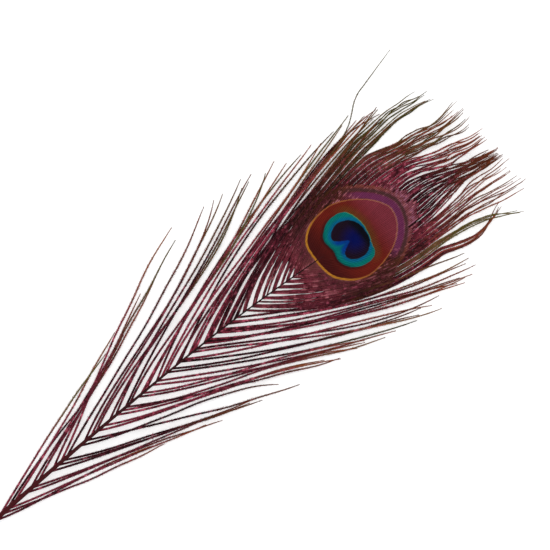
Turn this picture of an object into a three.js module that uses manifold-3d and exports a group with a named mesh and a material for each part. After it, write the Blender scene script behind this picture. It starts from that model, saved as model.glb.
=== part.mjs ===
// One tail feather of a peacock, lying on a level surface with its coloured face up.
// Millimetres. +Y runs along the shaft to the tip, +X is the right-hand vane, +Z is up.
// Everything is laid out from the foot of the eye, where the shaft enters it at x = 0, y = 0.
// The feather grew as one piece, so the shaft, the eye and the locks of barbs are one solid.

import * as THREE from 'three';
import { mergeVertices } from 'three/addons/utils/BufferGeometryUtils.js';
import Module from 'manifold-3d';

// ---- Shaft: the bare quill and the rachis that carries the barbs
const QUILL_TIP_Y = -212;
const SHAFT_LINE = [
  [3.6, QUILL_TIP_Y],
  [0.6, -165],
  [-1.6, -110],
  [-2.3, -50],
  [0, 0],
  [2.6, 17],
];
// Half of the shaft's width at equal steps from the tip of the quill to the eye.
const SHAFT_HALF_WIDTHS = [0.55, 1.2, 0.95, 0.72, 0.52, 0.4, 0.32, 0.24];
const SHAFT_DEPTH_SHARE = 1.1;
const SHAFT_BOW = 3.2;
const SHAFT_SIDES = 10;
const SHAFT_STEPS = 30;

// ---- Eye: the dense oval of the vane, an egg with its narrow end to the tip
const EYE_CENTRE = new THREE.Vector2(2.2, 19.8);
const EYE_HALF_WIDTH = 22;
const EYE_HALF_LENGTH = 25.5;
const EYE_NARROWING = 0.13;
// Distance from the centre as a share of the egg, then height above the surface.
const EYE_PROFILE = [
  [0, 0],
  [0.98, 0],
  [1, 0.3],
  [0.9, 0.75],
  [0.7, 1.25],
  [0.4, 1.6],
  [0, 1.75],
];
const EYE_SEGMENTS = 40;

// ---- Wedge: the closed vane that runs down the shaft from the eye
const WEDGE_FOOT_Y = -15;
const WEDGE_HEAD_Y = 5;
const WEDGE_HALF_WIDTH = 15;
const WEDGE_THICKNESS = 0.8;

// ---- Side locks: loose barbs on both edges of the shaft, closer together near the eye
const SIDE_LOCKS = 25;
const FIRST_LOCK_Y = -186;
const LAST_LOCK_Y = -12;
const LOCK_CROWDING = 1 / 3;
const LEFT_TIPS = [[-15, -128], [-52, -22], [-43, 26], [-36, 60], [-30, 84]];
const RIGHT_TIPS = [[17, -126], [35, -42], [45, 10], [48.5, 46], [41, 84]];
const ROOT_ANGLES = [16, 27, 34, 36, 48];
const TIP_ANGLES = [14, 26, 20, 8, 4];
const ROOT_REACH = 0.36;
const TIP_REACH = 0.32;
const LOCK_HALF_WIDTHS = [0.3, 0.6, 0.75, 0.6, 0.18];
const LOCK_HALF_HEIGHTS = [0.25, 0.3, 0.35, 0.3, 0.18];
const LOCK_STEPS = 9;
const LOCK_SIDES = 4;

// ---- Fan locks: the tufts past the eye, from the left of the fan to its right
const FAN_WAIST_Y = 45.7;
const FAN_NECK_Y = 68;
// The x of each tuft's left and right edge at the waist, at the neck and at its tips.
const TUFTS = [
  { locks: 3, left: [-31.5, -32, -30], right: [-22.8, -24.4, -21.8], tipY: 84 },
  { locks: 5, left: [-22, -17.6, -17.4], right: [-12, -7.8, -5.6], tipY: 90.5 },
  { locks: 4, left: [-11, -5.8, -0.4], right: [-3, 2.2, 5], tipY: 92.7 },
  { locks: 5, left: [-2, 2.8, 9.8], right: [16.5, 14, 14.4], tipY: 92.2 },
  { locks: 5, left: [17, 15.2, 15.6], right: [25, 27, 32], tipY: 93.4 },
  { locks: 2, left: [25.8, 30.5, 38.5], right: [28.4, 32.5, 41], tipY: 84.4 },
  { locks: 2, left: [29, 33, 29.5], right: [32, 35, 31.5], tipY: 77.4 },
];
const FAN_ROOT_SHARE = 0.8;
// How far round the eye the roots go, in degrees from its top for each millimetre at the waist.
const FAN_ROOT_SPREAD = 3.1;
// How much of a lock's rise is left at the neck.
const FAN_NECK_RISE = 0.6;
const FAN_HALF_WIDTHS = [1.4, 1.9, 1.6, 1.1, 0.25];
const FAN_STEPS = 8;

// ---- How high the locks stand
const LOWEST = 0.4;
const RISES = [2, 5.6, 3.4, 7.2, 2.6, 4.6, 1.4];
const TIP_HEIGHTS = [0.4, 2.2, 0.4, 4, 1.2];

const DEGREE = Math.PI / 180;
const UP = new THREE.Vector3(0, 0, 1);

const wasm = await Module();
wasm.setup();

// A value that runs smoothly through evenly spaced stations, at a share of the way along them.
function along(stations, share) {
  const last = stations.length - 1;
  const place = THREE.MathUtils.clamp(share, 0, 1) * last;
  const before = Math.min(Math.floor(place), last - 1);
  return THREE.MathUtils.lerp(stations[before], stations[before + 1], place - before);
}

// A curve through points on the plan, at one height.
function planCurve(points, height = 0) {
  return new THREE.CatmullRomCurve3(points.map(([x, y]) => new THREE.Vector3(x, y, height)));
}

// A closed solid of a three.js geometry, for joining.
function solid(geometry) {
  geometry.deleteAttribute('normal');
  geometry.deleteAttribute('uv');
  const merged = mergeVertices(geometry);
  return new wasm.Manifold(new wasm.Mesh({
    numProp: 3,
    vertProperties: new Float32Array(merged.getAttribute('position').array),
    triVerts: new Uint32Array(merged.getIndex().array),
  }));
}

// The three.js geometry of a joined solid.
function geometryOf(joined) {
  const mesh = joined.getMesh();
  const geometry = new THREE.BufferGeometry();
  geometry.setAttribute('position', new THREE.BufferAttribute(mesh.vertProperties, mesh.numProp));
  geometry.setIndex(new THREE.BufferAttribute(mesh.triVerts, 1));
  geometry.computeVertexNormals();
  return geometry;
}

// A closed strand: the rings of a unit cylinder set out along a path, each upright and level.
function strand(path, halfWidth, halfHeight, sides, steps) {
  const geometry = new THREE.CylinderGeometry(1, 1, 1, sides, steps, false, Math.PI / sides);
  const position = geometry.getAttribute('position');
  for (let i = 0; i < position.count; i += 1) {
    const share = THREE.MathUtils.clamp(position.getY(i) + 0.5, 0, 1);
    const across = path.getTangent(share).cross(UP).normalize();
    const place = path.getPoint(share);
    place.addScaledVector(across, position.getX(i) * halfWidth(share));
    place.addScaledVector(UP, position.getZ(i) * halfHeight(share));
    position.setXYZ(i, place.x, place.y, place.z);
  }
  return geometry;
}

// The middle of the shaft at a share of its length, resting at the quill and bowed up between.
class ShaftPath extends THREE.Curve {
  constructor() {
    super();
    this.line = planCurve(SHAFT_LINE);
  }

  halfWidth(share) {
    return along(SHAFT_HALF_WIDTHS, share);
  }

  halfHeight(share) {
    return this.halfWidth(share) * SHAFT_DEPTH_SHARE;
  }

  getPoint(share) {
    const place = this.line.getPointAt(share);
    place.z = this.halfHeight(share) + SHAFT_BOW * Math.sin(Math.PI * share);
    return place;
  }

  // The point of the shaft at a distance along the feather.
  atY(y) {
    let low = 0;
    let high = 1;
    while (high - low > 0.001) {
      const middle = (low + high) / 2;
      if (this.line.getPointAt(middle).y < y) {
        low = middle;
      } else {
        high = middle;
      }
    }
    return this.getPoint(low);
  }
}

const SHAFT = new ShaftPath();

function shaft() {
  return strand(
    SHAFT,
    (share) => SHAFT.halfWidth(share),
    (share) => SHAFT.halfHeight(share),
    SHAFT_SIDES,
    SHAFT_STEPS,
  );
}

// A point of the eye's egg, at an angle from +X and at a share of the way out.
function eggPoint(angle, share) {
  const narrowing = 1 - EYE_NARROWING * share * Math.sin(angle);
  return new THREE.Vector2(
    EYE_CENTRE.x + EYE_HALF_WIDTH * share * Math.cos(angle) * narrowing,
    EYE_CENTRE.y + EYE_HALF_LENGTH * share * Math.sin(angle),
  );
}

// The eye: a low dome turned from its profile, then drawn out to the egg.
function eye() {
  const profile = EYE_PROFILE.map(([share, height]) => new THREE.Vector2(share, height));
  const geometry = new THREE.LatheGeometry(profile, EYE_SEGMENTS);
  geometry.rotateX(Math.PI / 2);
  const position = geometry.getAttribute('position');
  for (let i = 0; i < position.count; i += 1) {
    const share = Math.hypot(position.getX(i), position.getY(i));
    const angle = Math.atan2(position.getY(i), position.getX(i));
    const place = eggPoint(angle, share);
    position.setXYZ(i, place.x, place.y, position.getZ(i));
  }
  return geometry;
}

// The wedge of closed vane under the eye, pointed where it runs out on the shaft.
function wedge() {
  const foot = SHAFT.atY(WEDGE_FOOT_Y);
  const outline = new THREE.Shape();
  outline.moveTo(foot.x, foot.y);
  outline.lineTo(EYE_CENTRE.x + WEDGE_HALF_WIDTH, WEDGE_HEAD_Y);
  outline.lineTo(EYE_CENTRE.x - WEDGE_HALF_WIDTH, WEDGE_HEAD_Y);
  outline.closePath();
  return new THREE.ExtrudeGeometry(outline, { depth: WEDGE_THICKNESS, bevelEnabled: false });
}

// A lock's path: out of its root at one angle to the feather's length and into its tip at another.
// It rises over the middle, and it comes down to its tip's height.
function lockPath(root, tip, rootAngle, tipAngle, side, order) {
  const length = root.distanceTo(tip);
  const middle = LOWEST + RISES[order % RISES.length];
  const bend = (from, reach, angle, height) => new THREE.Vector3(
    from.x + side * reach * length * Math.sin(angle * DEGREE),
    from.y + reach * length * Math.cos(angle * DEGREE),
    height,
  );
  return new THREE.CubicBezierCurve3(
    root,
    bend(root, ROOT_REACH, rootAngle, middle),
    bend(tip, -TIP_REACH, tipAngle, middle),
    tip,
  );
}

// The locks of one edge of the shaft, from the quill up to the eye; side is -1 on the left.
function sideLocks(side, tips) {
  const edge = planCurve(tips);
  return Array.from({ length: SIDE_LOCKS }, (_, order) => {
    const share = order / (SIDE_LOCKS - 1);
    const crowded = share * (1 + LOCK_CROWDING * (1 - share));
    const root = SHAFT.atY(THREE.MathUtils.lerp(FIRST_LOCK_Y, LAST_LOCK_Y, crowded));
    const tip = edge.getPoint(share);
    tip.z = TIP_HEIGHTS[(order + (side + 1)) % TIP_HEIGHTS.length];
    const path = lockPath(
      root,
      tip,
      along(ROOT_ANGLES, share),
      along(TIP_ANGLES, share),
      side,
      order + (side + 1),
    );
    return strand(
      path,
      (part) => along(LOCK_HALF_WIDTHS, part),
      (part) => along(LOCK_HALF_HEIGHTS, part),
      LOCK_SIDES,
      LOCK_STEPS,
    );
  });
}

// A fan lock's path: out of the eye, through its tuft's waist and neck to its tip.
function fanPath(tuft, share, order) {
  const [waist, neck, tip] = tuft.left.map((x, i) => THREE.MathUtils.lerp(x, tuft.right[i], share));
  const foot = eggPoint((90 - (waist - EYE_CENTRE.x) * FAN_ROOT_SPREAD) * DEGREE, FAN_ROOT_SHARE);
  const rise = FAN_NECK_RISE * RISES[order % RISES.length];
  return new THREE.CatmullRomCurve3([
    new THREE.Vector3(foot.x, foot.y, LOWEST),
    new THREE.Vector3(waist, FAN_WAIST_Y, LOWEST + rise / 3),
    new THREE.Vector3(neck, FAN_NECK_Y, LOWEST + rise),
    new THREE.Vector3(tip, tuft.tipY, TIP_HEIGHTS[order % TIP_HEIGHTS.length]),
  ]);
}

function fanLocks() {
  const places = TUFTS.flatMap((tuft) => Array.from(
    { length: tuft.locks },
    (_, order) => [tuft, order / (tuft.locks - 1)],
  ));
  return places.map(([tuft, share], order) => strand(
    fanPath(tuft, share, order),
    (part) => along(FAN_HALF_WIDTHS, part),
    (part) => along(LOCK_HALF_HEIGHTS, part),
    LOCK_SIDES,
    FAN_STEPS,
  ));
}

// The whole feather in one solid.
function feather() {
  const locks = [...sideLocks(-1, LEFT_TIPS), ...sideLocks(1, RIGHT_TIPS), ...fanLocks()];
  const joined = [eye(), wedge(), ...locks]
    .map((piece) => solid(piece))
    .reduce((whole, piece) => whole.add(piece), solid(shaft()));
  const material = new THREE.MeshStandardMaterial({ color: 0x5c2030, roughness: 0.6, metalness: 0 });
  const mesh = new THREE.Mesh(geometryOf(joined), material);
  mesh.name = 'feather';
  return mesh;
}

// The origin goes under the middle of the feather's box.
function centred(mesh) {
  mesh.geometry.computeBoundingBox();
  const box = mesh.geometry.boundingBox;
  const middle = box.getCenter(new THREE.Vector3());
  mesh.position.set(-middle.x, -middle.y, -box.min.z);
  return mesh;
}

const part = new THREE.Group();
part.add(centred(feather()));

export default part;
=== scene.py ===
"""A peacock's tail feather, dyed wine red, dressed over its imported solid.

The feather lies with its coloured face up. It is laid out in millimetres from the foot of the eye,
where the shaft runs in under it: x to the right-hand vane, y to the tip and z up. Its real pieces
are the quill with its shaft, the loose barbs of both edges, and the close-set barbs that make the
eye and run on past it as a tufted fan.
"""
import logging
import math
from collections.abc import Mapping, Sequence
from dataclasses import dataclass, field
from enum import Enum

import bpy
import numpy as np
from bpy.types import Material, Node, NodeSocket, Object
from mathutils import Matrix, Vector


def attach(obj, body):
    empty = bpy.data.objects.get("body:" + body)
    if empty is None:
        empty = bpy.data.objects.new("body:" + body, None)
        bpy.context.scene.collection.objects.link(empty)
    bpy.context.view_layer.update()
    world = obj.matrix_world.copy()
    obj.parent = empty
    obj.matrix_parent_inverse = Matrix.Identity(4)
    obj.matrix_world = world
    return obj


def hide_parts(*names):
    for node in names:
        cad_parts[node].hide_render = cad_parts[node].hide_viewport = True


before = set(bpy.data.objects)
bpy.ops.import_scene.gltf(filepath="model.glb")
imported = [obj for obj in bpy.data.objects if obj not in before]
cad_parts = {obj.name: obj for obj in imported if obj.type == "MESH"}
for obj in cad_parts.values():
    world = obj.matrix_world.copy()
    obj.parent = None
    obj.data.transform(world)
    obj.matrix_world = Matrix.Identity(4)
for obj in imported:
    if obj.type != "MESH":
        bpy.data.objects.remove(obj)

LOG = logging.getLogger("feather")
Array = np.ndarray
Rng = np.random.Generator
Span = tuple[float, float]
Triple = tuple[float, float, float]
Floats = tuple[float, ...]
Line = tuple[Span, ...]
Colour = tuple[float, float, float, float]
MM = 0.001
NODE = "feather"
BODY = "root"
BAKE_MAP = "OFBake"
# Where the foot of the eye lies in the row frame, in metres.
EYE_FOOT = (0.00172, 0.0593)
UP = np.array([0.0, 0.0, 1.0])
# The low dome of the eye, in millimetres from its foot.
DOME_MIDDLE = (2.2, 19.8)
DOME_REACH = (28.8, 36.0)
DOME_EDGE = 0.8
DOME_RISE = 1.3


class Edge(Enum):
    """The two edges of the feather, by the sign of x."""

    LEFT = -1
    RIGHT = 1


class Slot(Enum):
    """The record's material slots."""

    BARBS = "barbs"
    EYE = "eye"
    SHAFT = "shaft"


# ----- Curves and fields -----


def smooth(low: float, high: float, value: Array) -> Array:
    """A soft step from 0 at low to 1 at high; low may be the larger."""
    share = np.clip((value - low) / (high - low), 0.0, 1.0)
    return share * share * (3.0 - 2.0 * share)


def unit(vectors: Array) -> Array:
    """The same vectors, one long."""
    return vectors / np.maximum(np.linalg.norm(vectors, axis=-1, keepdims=True), 1e-12)


def spline(points: Array, share: Array, closed: bool = False) -> Array:
    """A smooth curve through points.

    Args:
        points: The points, one a row, or one value each.
        share: How far along the curve to read it, from 0 to 1.
        closed: Whether the curve runs on from its last point to its first.

    Returns:
        The curve at each share, with the shape of share and then of a point.
    """
    points = np.asarray(points, float)
    if closed:
        held = np.concatenate([points[-1:], points, points[:2]])
    else:
        ends = 2 * points[:1] - points[1:2], 2 * points[-1:] - points[-2:-1]
        held = np.concatenate([ends[0], points, ends[1]])
    pieces = len(held) - 3
    place = np.clip(share, 0.0, 1.0) * pieces
    first = np.minimum(place.astype(int), pieces - 1)
    local = (place - first).reshape(place.shape + (1,) * (points.ndim - 1))
    before, start, end, after = (held[first + i] for i in range(4))
    return 0.5 * (
        2 * start
        + (end - before) * local
        + (2 * before - 5 * start + 4 * end - after) * local**2
        + (3 * start - before - 3 * end + after) * local**3
    )


def vane_height(x: Array, y: Array) -> Array:
    """How high the eye's low dome lies at places on the plan."""
    off = np.hypot((x - DOME_MIDDLE[0]) / DOME_REACH[0], (y - DOME_MIDDLE[1]) / DOME_REACH[1])
    return DOME_EDGE + DOME_RISE * (1 - smooth(0, 1, off))


def tapered(share: Array, start: float = 0.95, loss: float = 0.75) -> Array:
    """The part of a strand's thickness that is left a share of the way along it."""
    return 1 - loss * smooth(start, 1, share)


def waves(
    at: Array,
    paces: Span,
    quicker: float,
    weights: Span,
    rng: Rng,
) -> Array:
    """Two waves along each row, each row out of step with the rest.

    Args:
        at: Where along its row each value lies.
        paces: The least and the most radians to one of it, for the first wave.
        quicker: How many times as quick the second wave is.
        weights: How far each wave swings.
        rng: Where the rows' paces and starts come from.

    Returns:
        The sum of the waves at each place.
    """
    phase = rng.uniform(0, 2 * math.pi, (2, len(at), 1))
    turn = at * rng.uniform(*paces, (len(at), 1))
    return weights[0] * np.sin(turn + phase[0]) + weights[1] * np.sin(turn * quicker + phase[1])


def clumps(count: int, chance: float, rng: Rng) -> list[Array]:
    """Which of a row of barbs cling together.

    Args:
        count: How many barbs there are.
        chance: How likely one is to part from the one before it.
        rng: Where the partings come from.

    Returns:
        A mask of the row for each clump.
    """
    clump = np.cumsum(rng.random(count) < chance)
    return [clump == one for one in np.unique(clump)]


def banded(roots: Array, pull: float, rng: Rng) -> Array:
    """Roots along the shaft, drawn together in bands of two or three.

    Args:
        roots: Where evenly spread barbs would leave the shaft, in order.
        pull: How much of the way each one goes to the middle of its band.
        rng: Which ones make a band.

    Returns:
        The new places.
    """
    sizes = rng.integers(2, 4, len(roots))
    band = np.repeat(np.arange(len(roots)), sizes)[: len(roots)]
    middle = np.array([roots[band == one].mean() for one in band])
    return roots + (middle - roots) * pull


def eased(values: Array, share: Array, reach: int = 7) -> Array:
    """Rows of values, made smoother.

    Args:
        values: The values, a row to each barb.
        share: How much of the way each one goes to the mean of its neighbours.
        reach: How many neighbours to either side make the mean.

    Returns:
        The new values.
    """
    kernel = np.hanning(2 * reach + 1)
    padded = np.pad(values, ((0, 0), (reach, reach)), mode="edge")
    mean = np.stack([np.convolve(row, kernel / kernel.sum(), "valid") for row in padded])
    return values + (mean - values) * share


def wandering(line: Array, reach: float, rng: Rng) -> Array:
    """Paths that swing a little from side to side, and up and down, more towards their tips.

    Args:
        line: The paths, in millimetres.
        reach: About how far a tip swings to the side.
        rng: Where the unevenness comes from.

    Returns:
        New paths.
    """
    count, steps = line.shape[:2]
    share = np.linspace(0, 1, steps)[None]
    phase = rng.uniform(0, 2 * math.pi, (3, count, 1))
    swing = np.sin(share * 2 * math.pi * rng.uniform(0.6, 1.5, (count, 1)) + phase[0])
    swing += 0.3 * np.sin(share * 2 * math.pi * rng.uniform(2.2, 4, (count, 1)) + phase[1])
    swing *= rng.uniform(0.3, 1.3, (count, 1)) * reach * share**1.2
    lift = np.sin(share * 2 * math.pi * rng.uniform(0.8, 2.2, (count, 1)) + phase[2])
    line = line.copy()
    line[..., 0] += swing
    line[..., 2] += lift * share * (1 - share)
    line[..., 2] = np.maximum(line[..., 2], 0.3)
    return line


@dataclass(frozen=True)
class Outline:
    """A closed line on the plan, in millimetres, in the order that it is drawn."""

    points: Line
    steps: int = 200
    most_places: int = 8000

    def distance(self, places: Array) -> Array:
        """How far each place lies inside the line.

        Args:
            places: Places on the plan, one a row.

        Returns:
            Millimetres to the line, above 0 inside it and below 0 outside.
        """
        if len(places) > self.most_places:
            return np.concatenate([self.distance(half) for half in np.array_split(places, 2)])
        line = spline(self.points, np.arange(self.steps) / self.steps, closed=True)
        after = np.roll(line, -1, axis=0)
        along = after - line
        from_start = places[:, None, :] - line[None]
        reach = np.clip((from_start * along).sum(-1) / (along**2).sum(-1), 0.0, 1.0)
        gap = np.linalg.norm(from_start - reach[..., None] * along, axis=-1).min(1)
        above = (line[:, 1] > places[:, 1, None]) != (after[:, 1] > places[:, 1, None])
        slope = along[:, 0] / np.where(along[:, 1] == 0, 1e-9, along[:, 1])
        crossing = line[:, 0] + (places[:, 1, None] - line[:, 1]) * slope
        inside = (above & (places[:, 0, None] < crossing)).sum(1) % 2 == 1
        return np.where(inside, gap, -gap)


# ----- Shader nodes -----


class Value:
    """A number's socket, on which arithmetic adds Math nodes."""

    def __init__(self, nodes: "Nodes", socket: NodeSocket) -> None:
        """Wraps a socket of one of these nodes."""
        self.nodes = nodes
        self.socket = socket

    def maths(self, operation: str, other: object = 0.0) -> "Value":
        """The result of a Math node on this and another value or number."""
        node = self.nodes.add("Math", {0: self, 1: other}, operation=operation)
        return Value(self.nodes, node.outputs[0])

    def __add__(self, other: object) -> "Value":
        """The sum."""
        return self.maths("ADD", other)

    def __sub__(self, other: object) -> "Value":
        """The difference."""
        return self.maths("SUBTRACT", other)

    def __mul__(self, other: object) -> "Value":
        """The product."""
        return self.maths("MULTIPLY", other)

    def __truediv__(self, other: object) -> "Value":
        """The quotient."""
        return self.maths("DIVIDE", other)

    def __rsub__(self, other: object) -> "Value":
        """The difference from a number."""
        return self * -1.0 + other

    __radd__ = __add__
    __rmul__ = __mul__

    def apart(self, middle: float) -> "Value":
        """How far it lies to either side of a middle."""
        return (self - middle).maths("ABSOLUTE")

    def step(self, low: float, high: float) -> "Value":
        """A soft step.

        Args:
            low: Where it is 0, which may be above high.
            high: Where it is 1.

        Returns:
            The step's value, from 0 to 1.
        """
        ends = {1: min(low, high), 2: max(low, high), 3: float(low > high), 4: float(low <= high)}
        node = self.nodes.add("MapRange", {0: self, **ends}, interpolation_type="SMOOTHSTEP")
        return Value(self.nodes, node.outputs[0])

    def band(self, low: float, high: float, soft: float) -> "Value":
        """1 between low and high and 0 beyond, over soft edges."""
        return self.step(low - soft, low + soft) * self.step(high + soft, high - soft)


class Nodes:
    """The node tree of one material."""

    def __init__(self, name: str) -> None:
        """Makes an empty material with an output node.

        Args:
            name: The material's name.
        """
        self.material = bpy.data.materials.new(name)
        self.material.use_nodes = True
        self.tree = self.material.node_tree
        self.tree.nodes.clear()
        self.end = self.tree.nodes.new("ShaderNodeOutputMaterial")

    def add(
        self, kind: str, inputs: Mapping[object, object] | None = None, **settings: object
    ) -> Node:
        """Adds a node.

        Args:
            kind: The node's type, without ShaderNode.
            inputs: A number, a colour, a value or a socket for each input, by name or place.
            settings: Its settings, set first.

        Returns:
            The node.
        """
        node = self.tree.nodes.new("ShaderNode" + kind)
        for name, setting in settings.items():
            setattr(node, name, setting)
        for place, given in (inputs or {}).items():
            socket = node.inputs[place]
            if isinstance(given, Value):
                given = given.socket
            if isinstance(given, NodeSocket):
                self.tree.links.new(given, socket)
            else:
                socket.default_value = given
        return node

    def attribute(self, name: str) -> Value:
        """A number that the mesh holds at its vertices."""
        return Value(self, self.add("Attribute", attribute_name=name).outputs["Fac"])

    def place(self, axis: str) -> Value:
        """How far along X or Y a place lies from the foot of the eye, in millimetres."""
        at = self.add("SeparateXYZ", {0: self.add("TexCoord").outputs["Object"]})
        return (Value(self, at.outputs[axis]) - EYE_FOOT["XY".index(axis)]) / MM

    def _noise(self, at: object, scale: float, detail: float) -> Value:
        """Noise from 0 to 1 at a place, with features of 1 / scale."""
        sockets = {"Vector": at, "Scale": scale, "Detail": detail}
        return Value(self, self.add("TexNoise", sockets).outputs[0])

    def noise(self, scale: float, detail: float, stretch: Sequence[float] = (1, 1, 1)) -> Value:
        """Noise from 0 to 1, in features to a metre, drawn out along the axes."""
        sockets = {"Vector": self.add("TexCoord").outputs["Object"], "Scale": tuple(stretch)}
        return self._noise(self.add("Mapping", sockets).outputs[0], scale, detail)

    def streaks(self, length: float, apart: float = 90.0) -> Value:
        """Noise from 0 to 1 along each strand, in features of a length in millimetres."""
        sockets = {0: self.attribute("run") / length, 1: self.attribute("tone") * apart}
        return self._noise(self.add("CombineXYZ", sockets).outputs[0], 1.0, 2.0)

    def mix(self, share: object, low: object, high: object) -> NodeSocket:
        """A colour between low and high."""
        sockets = {0: share, 6: low, 7: high}
        return self.add("Mix", sockets, data_type="RGBA", clamp_factor=True).outputs[2]

    def layered(self, colour: object, *coats: tuple[object, object]) -> object:
        """A colour with others laid over it.

        Args:
            colour: The lowest colour.
            coats: How much of each coat covers what lies under it, and its colour.

        Returns:
            The colour that shows.
        """
        for share, coat in coats:
            colour = self.mix(share, colour, coat)
        return colour

    def brighten(self, colour: object, by: Value) -> NodeSocket:
        """A colour times a value."""
        return self.add("VectorMath", {0: colour, "Scale": by}, operation="SCALE").outputs[0]

    def bump(self, strength: float, distance: float, height: Value) -> NodeSocket:
        """A normal that leans with a height, in metres."""
        sockets = {"Strength": strength, "Distance": distance, "Height": height}
        return self.add("Bump", sockets).outputs[0]

    def finish(self, **inputs: object) -> Material:
        """Ends in one Principled shader.

        Args:
            inputs: Its sockets by name, with _ for a space.

        Returns:
            The material.
        """
        sockets = {name.replace("_", " "): given for name, given in inputs.items()}
        shader = self.add("BsdfPrincipled", sockets)
        self.tree.links.new(shader.outputs[0], self.end.inputs[0])
        return self.material


def srgb(red: int, green: int, blue: int) -> Colour:
    """A display colour as the light that it gives off.

    Args:
        red: Its red, from 0 to 255.
        green: Its green, likewise.
        blue: Its blue, likewise.

    Returns:
        The colour, with an alpha of 1.
    """
    light = [c / 255 for c in (red, green, blue)]
    light = [c / 12.92 if c <= 0.04045 else ((c + 0.055) / 1.055) ** 2.4 for c in light]
    return (*light, 1.0)


# ----- Meshes of many strands -----


@dataclass
class Block:
    """A run of like faces: places in millimetres, numbers at the vertices and a bake map."""

    places: Array
    faces: Array
    numbers: dict[str, Array]
    map: Array
    finish: int = 0


@dataclass
class StrandMesh:
    """One piece of the feather, gathered from blocks of strands."""

    name: str
    blocks: Sequence[Block]

    def object(self, *finishes: Material) -> Object:
        """Makes the piece.

        Args:
            finishes: Its materials, in the order that the blocks number them.

        Returns:
            The object, with its place in its mesh.
        """
        starts = np.cumsum([0] + [len(b.places) for b in self.blocks])
        places = np.concatenate([b.places for b in self.blocks]) * MM
        places[:, :2] += EYE_FOOT
        faces = [b.faces + start for b, start in zip(self.blocks, starts)]
        finish = np.concatenate([np.full(len(b.faces), b.finish) for b in self.blocks])
        mesh = bpy.data.meshes.new(self.name)
        mesh.from_pydata(places, [], [face for block in faces for face in block.tolist()])
        mesh.polygons.foreach_set("material_index", finish.astype(np.int32))
        mesh.shade_smooth()
        for key in self.blocks[0].numbers:
            held = mesh.attributes.new(key, "FLOAT", "POINT")
            values = np.concatenate([b.numbers[key] for b in self.blocks])
            held.data.foreach_set("value", values.astype(np.float32))
        layer = mesh.uv_layers.new(name=BAKE_MAP)
        corners = np.concatenate([block.ravel() for block in faces])
        spots = np.concatenate([b.map for b in self.blocks])[corners]
        layer.uv.foreach_set("vector", spots.astype(np.float32).ravel())
        for material in finishes:
            mesh.materials.append(material)
        mesh.validate()
        made = bpy.data.objects.new(self.name, mesh)
        bpy.context.scene.collection.objects.link(made)
        return made


def dress(piece: Object) -> None:
    """Puts a piece on the feather in place of its solid, and reports it.

    Args:
        piece: The finished piece.
    """
    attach(piece, BODY)
    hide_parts(NODE)
    piece.data.calc_loop_triangles()
    LOG.info("%s: %d triangles", piece.name, len(piece.data.loop_triangles))


@dataclass(frozen=True)
class Barbules:
    """The fine spikes down both sides of a barb, in millimetres and radians."""

    reach: float
    pitch: float
    half_width: float = 0.13
    height_share: float = 0.7
    jitter: float = 0.35
    bare_end: float = 0.2
    shortest: float = 0.05
    lean: Span = (0.72, 0.13)
    lift: Span = (0.16, 0.30)
    sizes: Span = (0.72, 1.12)
    lowest: Floats = (0.02, 0.02, 0.06, 0.03)
    map_spread: Floats = (0.1, 0.1, 0.2, 1.0)


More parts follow.
